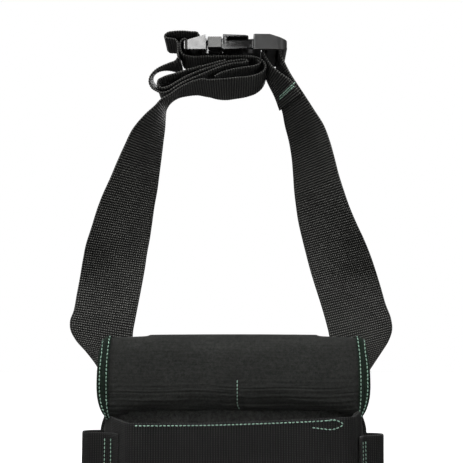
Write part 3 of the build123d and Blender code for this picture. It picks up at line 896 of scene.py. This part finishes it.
def front_pockets():
    """Two front pocket bays that bulge between their seams."""
    (left, right), (low, high) = span("front_pocket", 0), span("front_pocket", 2)
    x = np.linspace(left, right, 121)
    share = np.linspace(0, 1, 90)
    wall = FRONT_Y - 2.8 * MM
    depth = pocket_depth(x[None, :], share[:, None], left, right)
    depth *= ramp(share / 0.06)[:, None] ** 0.5
    sag = 2.2 * MM * np.abs(np.sin(np.pi * (x - left) / (right - left) * 2))
    z = low + np.outer(share, high - low - sag)
    folds = soft_noise((90, 121), (5, 12)) * 1.1 * MM + soft_noise((90, 121), (16, 30)) * 0.35 * MM
    edge = ramp(np.minimum(x - left, right - x) / (14 * MM))[None, :]
    depth = depth + folds * edge * ramp(share / 0.2)[:, None]
    middle = np.stack([np.broadcast_to(x, depth.shape), wall - depth, z], -1)
    pocket = slab("front_pockets", middle.transpose(1, 0, 2), CLOTH_HALF, CLOTH)
    settle(pocket, "pouch_fabric", "bag", "front_pocket")
    pocket_tape(middle[-1])
    face = middle + FORWARD * 0.7 * MM
    for name, row in (
        ("centre", face[6:-4, 60]),
        ("left", face[5:-4, 3]),
        ("right", face[5:-4, -4]),
        ("bottom", face[5, 3:-3]),
    ):
        stitch_row(f"pocket_{name}_stitches", row, FORWARD)


def pocket_tape(lip):
    """Tape folded over the front pocket's upper edge, with its stitches."""
    tape = np.zeros((len(lip), len(AROUND), 3))
    tape[..., 0] = lip[:, :1]
    tape[..., 1] = lip[:, 1:2] - 1.25 * MM * signed_power(np.cos(AROUND), 0.6)
    tape[..., 2] = lip[:, 2:] + 1.2 * MM + 5.0 * MM * np.sin(AROUND)
    tape[..., 2] = np.minimum(tape[..., 2], span("front_pocket_binding", 2)[1] + 2 * MM)
    bound = slab("front_pocket_tape", tape, TAPE_HALF, TAPE, wrap=True)
    settle(bound, "binding_tape", "bag", "front_pocket_binding")
    stitch_row("pocket_tape_stitches", lip + np.array([0, -1.7 * MM, -1.6 * MM]), FORWARD)


def wall_x(side, y, outset):
    """Where the pouch wall, moved outwards, stands at a depth on one side."""
    plan = pouch_plan(400, outset)
    plan = plan[:200] if side < 0 else plan[:199:-1]
    return float(np.interp(-y, -plan[:, 1], plan[:, 0]))


def side_loops():
    """Webbing loops that stand out from the gussets, each end sewn flat to the wall."""
    for name, side, drop in (("left", -1, 1.0), ("right", 1, 3.4)):
        node = f"side_loop_{name}"
        low_z, high_z = (value / MM - drop for value in span(node, 2))
        out = max(abs(value) for value in span(node, 0)) / MM
        rear, near, sewn, tip = (wall_x(side, y * MM, 4.4 * MM) / MM for y in (19.5, -9.0, -13.0, -18.0))
        plan = [(rear - side * 1.2, 20.6), (rear + side * 4, 19.8)]
        plan += [(side * (out - less), y) for less, y in ((3.5, 17.6), (0.6, 13.6), (0.9, 8.0), (5.5, 1.0))]
        plan += [((side * (out - 10) + near) / 2, -4.4), (near + side * 0.6, -9.0)]
        plan += [(sewn, -13.0), (tip, -18.0)]
        loop = webbing(node + "_webbing", upright(plan, high_z, low_z), BAND)
        settle(loop, "webbing", "bag", node)
        heights = np.linspace(low_z + 3, high_z - 3, 20)
        for number, y in enumerate((-12.0, -16.0)):
            points = np.array([(side * (out + 6), y, z) for z in heights]) * MM
            path, normals = laid_on(loop, points, (-side, 0.25, 0))
            stitch_row(f"{node}_stitches_{number + 1}", path, normals)


def top_taper(z, high):
    """The back panel narrows a little over its last centimetre."""
    return 1 - 0.034 * ramp((z - high + 14 * MM) / (14 * MM)) ** 1.6


def back_panels():
    """Crowned outer cloth and the lining of the back, either side of its board."""
    for name, node, swell, material, slot in (
        ("back_cloth", "back_panel_outer", 1.0, CLOTH, "pouch_fabric"),
        ("back_lining", "back_panel_lining", 0.0, LINING_PAINTED_LIGHT, "lining"),
    ):
        (left, right), (low, high) = span(node, 0), span(node, 2)
        front, back = span(node, 1)
        high += TOP_RISE
        x, z = np.meshgrid(np.linspace(left, right, 110), np.linspace(low, high, 90), indexing="ij")
        u, w = (x - left) / (right - left), (z - low) / (high - low)
        x = x * top_taper(z, high)
        crown = ramp(np.sin(np.pi * u) * np.sin(np.pi * w)) ** 0.5
        waves = soft_noise(x.shape, (9, 7)) * crown
        y = (front + back) / 2 + swell * (1.3 * MM * crown + 0.5 * MM * waves)
        panel = slab(name, np.stack([x, y, z], -1), (back - front) / 2 * 0.92, material)
        settle(panel, slot, "bag", node)


def roll_back_layer():
    """The roll's back layer, curled forwards over the roll's top, with its two stitched rows."""
    (left, right), (low, high) = span("tunnel_back", 0), span("tunnel_back", 2)
    y_mid = sum(span("tunnel_back", 1)) / 2
    share = np.linspace(0, 1, 70)
    curl_from = 0.84
    curl = ramp((share - curl_from) / (1 - curl_from)) * np.pi / 2
    rise = np.where(share < curl_from, share / curl_from * 0.93, 0.93 + 0.07 * np.sin(curl))
    profile_y = y_mid - (y_mid - ROLL_BACK + 1.0 * MM) * (1 - np.cos(curl))
    profile_z = low - 6 * MM + (high - low + 6 * MM) * rise
    x = np.linspace(left, right, 110)
    grid = np.stack(np.broadcast_arrays(x[:, None], profile_y[None, :], profile_z[None, :]), -1)
    grid[..., 1] += soft_noise((110, 70), (9, 5)) * 0.35 * MM * np.sin(np.pi * share)[None, :]
    grid[..., 2] += (roll_sag(x)[:, None] - 1.5 * MM) * share[None, :] ** 4
    layer = slab("roll_back_layer", grid, 0.55 * MM, ROLL)
    settle(layer, "pouch_fabric", "bag", "tunnel_back")
    depth, inset = y_mid + 0.9 * MM, 4 * MM
    for name, height in (("upper", ROLL_HIGH - 14 * MM), ("lower", low + 4 * MM)):
        row = np.linspace((left + inset, depth, height), (right - inset, depth, height), 40)
        stitch_row(f"roll_back_{name}_stitches", row, BACKWARD)


def edge_tape():
    """Tape folded round the back panel's sides and bottom."""
    (left, right), (low, high) = span("edge_binding", 0), span("edge_binding", 2)
    front, back = span("edge_binding", 1)
    inset = 1.3 * MM
    bend = 9 * MM
    high += TOP_RISE + 0.5 * MM
    left, right, low = left + inset, right - inset, low + inset
    arc = [(bend * (1 - math.cos(a)), bend * (1 - math.sin(a))) for a in np.linspace(0, np.pi / 2, 9)]
    shoulder = [high, high - 5 * MM, high - 10 * MM, high - 16 * MM]
    outline = [(left * top_taper(z, high), z) for z in shoulder]
    upright_run = np.linspace(high - 24 * MM, low + bend + 4 * MM, 16)
    flat_run = np.linspace(left + bend + 4 * MM, right - bend - 4 * MM, 16)
    outline += [(left, z) for z in upright_run]
    outline += [(left + x, low + z) for x, z in arc]
    outline += [(x, low) for x in flat_run]
    outline += [(right - z, low + x) for x, z in arc]
    outline += [(right, z) for z in upright_run[::-1]]
    outline += [(right * top_taper(z, high), z) for z in shoulder[::-1]]
    path = smooth_curve([(x, (front + back) / 2, z) for x, z in outline], 1.2 * MM)
    ahead = unit(np.gradient(path, axis=0))
    outward = np.cross(ahead, FORWARD)
    half_depth = (back - front) / 2 - TAPE_HALF
    overlap = 1.2 * MM * np.cos(AROUND) - 2.5 * MM * ramp(-np.cos(AROUND))
    ring = path[:, None] + outward[:, None] * overlap[None, :, None]
    ring[..., 1] += signed_power(np.sin(AROUND), 0.5) * half_depth
    tape = slab("back_edge_tape", ring, TAPE_HALF, TAPE, wrap=True)
    settle(tape, "binding_tape", "bag", "edge_binding")
    row = path - outward * 2.0 * MM
    row[:, 1] = back + 0.15 * MM
    stitch_row("back_edge_stitches", row, BACKWARD)


# Belt --------------------

STRAP_WIDTH = 51.5
BELT_Y_MM = BELT_Y / MM
RIGHT_STRAP_CUT = 352 * MM


def strap_stations(side, lean, inner, turn):
    """Stations up one belt side from its inner edge (x, z) and its turn in degrees at each."""
    stations = []
    for (x, z), degrees in zip(inner, turn):
        angle = math.radians(degrees)
        tilt = math.radians(lean)
        back = (x, BELT_Y_MM, z)
        outer = (x + side * STRAP_WIDTH * math.cos(angle) * math.cos(tilt),
                 BELT_Y_MM - STRAP_WIDTH * math.sin(angle),
                 z + STRAP_WIDTH * math.cos(angle) * math.sin(tilt))
        stations.append((outer, back))
    return stations


def left_belt():
    """Left belt side, the folded spare length, its way round the socket's bars and the tail."""
    corner = corner_pairs([
        (-103, 198, -80, 190, 22.8), (-107, 211, -80.5, 202, 22.8), (-113, 222, -81.2, 213, 22.6),
        (-121.5, 233, -82.2, 223.5, 22.2), (-129.5, 242, -82.8, 233, 21.9),
        (-134, 250.5, -82.9, 241.5, 21.6), (-134.4, 258.5, -82.4, 250, BELT_Y_MM)])
    inner = [(-81, 258), (-78.2, 273), (-75.6, 287), (-73.3, 300), (-71.5, 313), (-69.3, 326), (-67.5, 340),
             (-65.9, 353), (-63.7, 366), (-62, 380), (-60.4, 393), (-58.8, 407), (-57.4, 420)]
    turn = [0, 0, 1.5, 7, 17, 26, 33, 40, 46.5, 53, 59, 66, 77]
    strap = strap_stations(-1, 8.0, inner, turn)
    lower_run = [((-62.5, -28, 427.5), (-57.2, 22, 427.3)), ((-57.2, -26, 433.6), (-56.6, 24, 434.4))]
    lower_run += tilted_pairs([
        (-50.1, 438, -53.2, 440.4), (-43.6, 442.8, -46.5, 445), (-37.4, 446, -38.5, 446.9),
        (-30.5, 448.8, -29.5, 447.6), (-23.5, 450, -22.5, 446.2), (-20, 449.2, -19, 445.6),
        (-16, 449.4, -15, 444.4), (-9, 449.8, -8, 443.4), (2.5, 451.2, 1.6, 444.3),
        (12, 452.1, 12.2, 446.3), (19.5, 454.2, 19.4, 449.2), (24.2, 457.2, 24.4, 454),
        (25.4, 461, 26.4, 459.6), (23, 465, 24.6, 465), (18.5, 467.5, 19, 468)])
    upper_run = level_pairs([
        (8, 468.6), (-6, 468.7), (-22, 468.3), (-36, 468.6), (-41.2, 470.6), (-42.7, 475),
        (-42.6, 479.6), (-41.2, 482), (-38.8, 482.8), (-37, 481.6), (-36.5, 478.6),
        (-35, 476.1), (-32, 475.2), (-28.7, 475.9), (-27.5, 478.6), (-27.3, 484.4)])
    bight = tilted_pairs([
        (-29, 487.6, -29, 486.9), (-34, 488.3, -34, 487.8), (-41, 488.9, -41, 488.3),
        (-48, 488.6, -48, 488.3), (-53, 487.6, -52.8, 487.5), (-55.2, 485.3, -55, 485.7),
        (-53.6, 483.1, -53.4, 483.9), (-50, 482.6, -50, 483.6), (-46.8, 482, -46.8, 483),
        (-45, 479.6, -45, 480.2), (-44.7, 475.4, -44.7, 475.8), (-44.8, 470.8, -44.5, 470.2),
        (-44.6, 467.8, -42.4, 467), (-46.2, 465.4, -43.4, 465.4), (-51.2, 463.1, -49, 467.4),
        (-57.5, 460.3, -56.8, 468.6), (-63, 456.6, -63.5, 467.3), (-66.6, 451.8, -67.3, 463.8),
        (-67.3, 447.4, -67.9, 459.4), (-65.4, 443, -65.2, 455.4), (-61.4, 440.2, -60.2, 451.2)])
    tail = tilted_pairs([
        (-56, 438.6, -54.6, 447), (-52, 439.9, -50.6, 446.8),
        (-44.6, 444.7, -45.2, 448.6), (-38.4, 448.3, -38.6, 450.4)])
    tail += level_pairs([
        (-31, 451.6), (-22.5, 455.3), (-14.5, 458.6), (-7, 461.2), (2, 463.2), (8, 463.8),
        (11.6, 464.9), (8, 465.9), (1, 465.2), (-7, 463.5), (-14.5, 461), (-24, 457.9),
        (-36, 452.9), (-45, 447.9), (-52.4, 443.8), (-57, 442.6), (-60.3, 445), (-60, 449),
        (-55.8, 451.6), (-46, 454.6), (-33, 458.6), (-23, 461), (-14.5, 463.4), (-6, 465.6)])
    tucked = level_pairs([
        (-15, 452.4), (-11.5, 454.4), (-4, 457.2), (4, 459),
        (12, 460.2), (18, 461.2), (21.4, 463.4), (18.6, 465.4)])
    settle(webbing("belt_tucked_end", tucked, WEB, 17), "webbing", "belt")
    piece = webbing("belt_left_side", corner + strap + lower_run + upper_run + bight + tail, WEB, 17)
    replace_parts(piece, "strap_left", "belt_bundle", "belt_tail")
    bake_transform(piece)


def right_belt():
    """Right belt side in two lengths: up to its middle, and on to its end sewn round the plug's bar."""
    corner = corner_pairs([
        (103, 200, 78, 190, 22.8), (108, 211.5, 78.5, 200, 22.8), (114.5, 221.5, 79.2, 208.5, 22.6),
        (121.6, 232, 80, 218.5, 22.2), (127.6, 241.5, 80.2, 228, 21.9),
        (130.6, 250.5, 80, 237, 21.6), (129.6, 260.5, 78.4, 247.5, BELT_Y_MM)])
    inner = [(75.6, 259), (71.6, 273), (67.5, 286), (63.4, 300), (60.1, 313), (56.9, 326), (53.8, 340),
             (52, 353), (50.6, 366), (49.7, 380), (48.6, 393), (46.4, 407), (43.3, 420), (40.7, 434),
             (37.6, 443)]
    turn = [0, 1, 5, 16, 25, 33, 39, 44, 48.5, 52.5, 56, 60, 66, 73, 76]
    strap = strap_stations(1, 14.0, inner, turn)
    loop = [((44, -26.5, 456), (34.6, 23.5, 455.6)), ((40.4, -25.5, 463.6), (35.4, 24.5, 464))]
    loop += tilted_pairs([(37.4, 471, 36.5, 471.6), (36, 480, 35.8, 480)])
    loop += level_pairs([(34.4, 483.6), (30.4, 484.6), (26.4, 483.6), (24.6, 479.6), (24.3, 472)])
    loop += [((30, -25.5, 461.5), (27.6, 24.5, 461.5))]
    beneath = np.array([-1.8, -0.5, -0.6])
    loop += [tuple(np.array(pair) + beneath) for pair in strap[:-3:-1]]
    names = "belt_right_side belt_right_end"
    lower, upper = webbing(names, corner + strap + loop, WEB, 17, [RIGHT_STRAP_CUT])
    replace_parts(lower, "strap_right")
    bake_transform(lower)
    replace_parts(upper, "strap_right_sewn_end")
    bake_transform(upper)
    low, high = np.array([38.3, 10, 442.8]), np.array([51.2, 10, 454.8])
    for number, drop in enumerate((0.0, 2.3)):
        seam = np.linspace(low, high, 80) - np.array([0, 0, drop])
        path, normals = laid_on(upper, seam * MM, (0.050, 0.925, 0.199))
        row = stitch_row(f"belt_end_stitches_{number + 1}", path, normals, None, radius=0.6 * MM)
        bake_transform(row)


def hidden_belt():
    """The belt's length inside the roll, between its back layer and the pad."""
    ends, half_width, middle_z = 101.0, 24.5, ROLL_MID_Z / MM
    plan = [(x, BELT_Y_MM - 0.7) for x in np.linspace(-ends, ends, 12)]
    stations = upright(plan, middle_z + half_width, middle_z - half_width)
    settle(webbing("belt_in_roll", stations, WEB, 15), "webbing", "bag", "belt_tunnel_web")


# CAD pieces that stay --------------------


def finish_cad(node, material, bevel):
    """Give a carried-over CAD piece its material and soft moulded edges."""
    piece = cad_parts[node]
    piece.data.materials.clear()
    piece.data.materials.append(material)
    if bevel:
        made = piece.modifiers.new("Moulded edges", "BEVEL")
        made.width = bevel
        made.segments = 3
        made.limit_method = "ANGLE"
        made.angle_limit = math.radians(38)
        made.harden_normals = False


# Stage --------------------

CAMERA_PLACE = (-0.0016, -0.915, 0.250)
CAMERA_AIM = (-0.0016, 0, 0.330)
CAMERA_LENS = 88.175
CAMERA_SENSOR = 36
LIGHTS = (
    # name, place, size, watts, what it is aimed at, spread in degrees
    ("overhead", (0.0, -0.45, 1.55), 1.0, 18, (0, 0, 0.25), 180),
    ("front_left", (-0.9, -1.3, 0.95), 0.9, 2.3, (0, 0, 0.3), 180),
    ("front_right", (1.0, -0.8, 0.75), 0.5, 1.8, (-0.05, 0, 0.36), 180),
    ("low_left", (-0.45, -0.75, 0.30), 0.3, 0.05, (0, 0, 0.46), 32),
    ("low_right", (0.45, -0.75, 0.30), 0.3, 0.05, (0, 0, 0.46), 32),
    ("front_low", (0.0, -1.0, 0.28), 0.2, 0.035, (0, 0, 0.18), 24),
    ("side_card", (-0.95, -0.04, 0.73), 0.3, 0.5, (0, 0, 0.478), 60),
    ("belt_fill", (0.0, -0.62, 0.98), 0.35, 1.6, (0, 0, 0.42), 180),
    ("back_fill", (0.5, 1.3, 1.1), 1.0, 12, (0, 0, 0.25), 180),
    ("buckle_card", (-0.062, -0.90, 0.71), 0.07, 0.42, (-0.03, 0, 0.479), 180),
)


def paper_material():
    """Paper that looks white but throws little light back up, with the faintest grain."""
    shader = Shader("floor_paper", 0.95, 0.0)
    white = shader.mix(shader.speckle(3.0), grey(0.86), grey(0.90))
    away = shader.node("VectorMath", {"operation": "LENGTH"}, i0=shader.place()).outputs["Value"]
    glow = shader.node("MapRange", Value=away, i1=0.3, i2=1.3, i3=0.50, i4=1.05).outputs[0]
    ray = shader.node("LightPath").outputs
    seen = ray["Is Camera Ray"]
    shader.set(emission_color=white, emission_strength=shader.times(glow, seen))
    bounced = shader.mix(ray["Is Glossy Ray"], grey(0.30), grey(0.06))
    return shader.finish(shader.mix(seen, bounced, white))


def backdrop():
    """White to the camera, dimmer as a light, so that dark cloth keeps its depth."""
    world = bpy.data.worlds.new("studio")
    world.use_nodes = True
    nodes = Nodes(world.node_tree)
    depth = nodes.split(nodes.node("TexCoord").outputs["Generated"])[1]
    around = nodes.node("MapRange", Value=depth, i1=0.25, i2=-0.35, i3=0.10, i4=0.22).outputs[0]
    strength = nodes.spread(nodes.node("LightPath").outputs["Is Camera Ray"], around, 1.0)
    sky = nodes.tree.nodes["Background"].inputs
    nodes.put(sky["Strength"], strength)
    nodes.put(sky["Color"], (1, 1, 1, 1))
    bpy.context.scene.world = world


def aimed(thing, place, target):
    """Put a light or camera at a place, turned to look at a target."""
    thing.location = place
    thing.rotation_euler = (Vector(target) - Vector(place)).to_track_quat("-Z", "Y").to_euler()
    bpy.context.collection.objects.link(thing)


def area_light(name, place, size, power, target, spread):
    """Square soft light aimed at a target; a small spread narrows its beam."""
    light = bpy.data.objects.new(name, bpy.data.lights.new(name, "AREA"))
    light.data.size = size
    light.data.spread = math.radians(spread)
    light.data.energy = power
    aimed(light, place, target)


def stage():
    """Pale round floor, white surroundings, soft lights and the camera."""
    turn = np.linspace(0, 2 * np.pi, 72, endpoint=False)
    circle = np.stack([np.cos(turn), np.sin(turn), 0 * turn], -1)
    rings = np.stack([radius * circle for radius in (0.01, 0.5, 2.0, 6.0)])
    rings[..., 2] = -1.2 * MM
    slab("floor", rings, 1 * MM, paper_material(), wrap=True)
    backdrop()
    for settings in LIGHTS:
        area_light(*settings)
    camera = bpy.data.objects.new("camera", bpy.data.cameras.new("camera"))
    camera.data.sensor_width = CAMERA_SENSOR
    camera.data.lens = CAMERA_LENS
    aimed(camera, CAMERA_PLACE, CAMERA_AIM)
    bpy.context.scene.camera = camera
    bpy.context.scene.view_settings.view_transform = "Standard"


pad = roll_pad()
for side in (-1, 1):
    roll_hem(side, pad)
tack_row(pad)
pouch_shell()
pouch_base()
mouth_webbing()
front_pockets()
side_loops()
back_panels()
roll_back_layer()
edge_tape()
left_belt()
right_belt()
hidden_belt()
for arm in ("latch_arm_front", "latch_arm_rear"):
    finish_cad(arm, LATCH, 0.4 * MM)
finish_cad("buckle_socket", SOCKET, 0.5 * MM)
finish_cad("buckle_plug", PLUG, 0.6 * MM)
for board in ("back_stiffener", "base_stiffener"):
    finish_cad(board, BOARD, 0)
stage()
